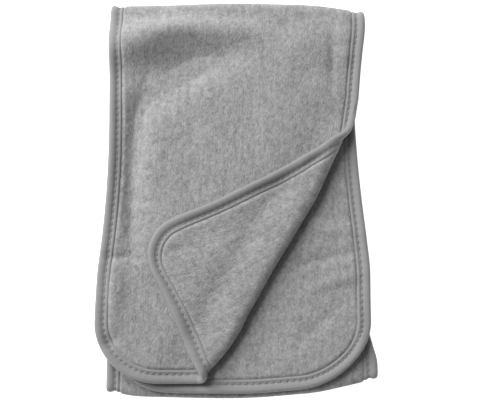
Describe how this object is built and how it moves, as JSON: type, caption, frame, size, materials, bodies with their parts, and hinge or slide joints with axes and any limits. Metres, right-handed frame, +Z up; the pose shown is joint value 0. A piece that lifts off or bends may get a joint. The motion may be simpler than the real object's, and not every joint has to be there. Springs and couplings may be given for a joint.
{
  "type": "throw blanket",
  "caption": "Folded fleece throw with rounded corners and a stitched soft binding, laid flat in layers, with one corner of the top layer turned over.",
  "frame": {"origin": "centre of the bounding box's base, on the surface that the folded throw lies on", "axes": "+Y along the folded stack towards the double fold, +X to the right when looking along +Y from above, +Z up through the layers"},
  "size_m": [0.205, 0.306, 0.0293],
  "materials": {
    "fleece": "brushed melange fleece, matt",
    "binding": "smooth jersey tape, soft sheen",
    "thread": "twisted polyester thread"
  },
  "bodies": {
    "lower_half": {"base_layer": "fleece", "third_layer": "fleece", "near_fold": "fleece", "outer_fold": "fleece", "inner_fold": "fleece", "base_binding_left": "binding", "base_binding_right": "binding", "third_binding_left": "binding", "third_binding_right": "binding", "near_fold_bindings": "binding", "outer_fold_bindings": "binding", "inner_fold_bindings": "binding", "base_needle_thread": "thread", "base_under_thread": "thread", "third_needle_thread": "thread", "third_under_thread": "thread"},
    "upper_half": {"second_layer": "fleece", "second_binding": "binding", "second_needle_thread": "thread", "second_under_thread": "thread", "top_layer": "fleece", "top_binding": "binding", "top_binding_right": "binding", "top_needle_thread": "thread", "top_under_thread": "thread", "corner_crease": "fleece", "corner_crease_bindings": "binding"},
    "turned_corner": {"turned_corner": "fleece", "turned_corner_binding": "binding", "turned_needle_thread": "thread", "turned_under_thread": "thread"}
  },
  "joints": [
    {"name": "far_fold_hinge", "type": "hinge", "parent": "lower_half", "child": "upper_half", "pos_m": [0, 0.14335, 0.00965], "axis": [-1, 0, 0], "range_deg": [0, 175], "deforming": ["outer_fold", "inner_fold", "outer_fold_bindings", "inner_fold_bindings"]},
    {"name": "corner_hinge", "type": "hinge", "parent": "upper_half", "child": "turned_corner", "pos_m": [0.03411, -0.0375, 0.022], "axis": [0.515, 0.8572, 0], "range_deg": [0, 175], "deforming": ["corner_crease", "corner_crease_bindings"]}
  ]
}
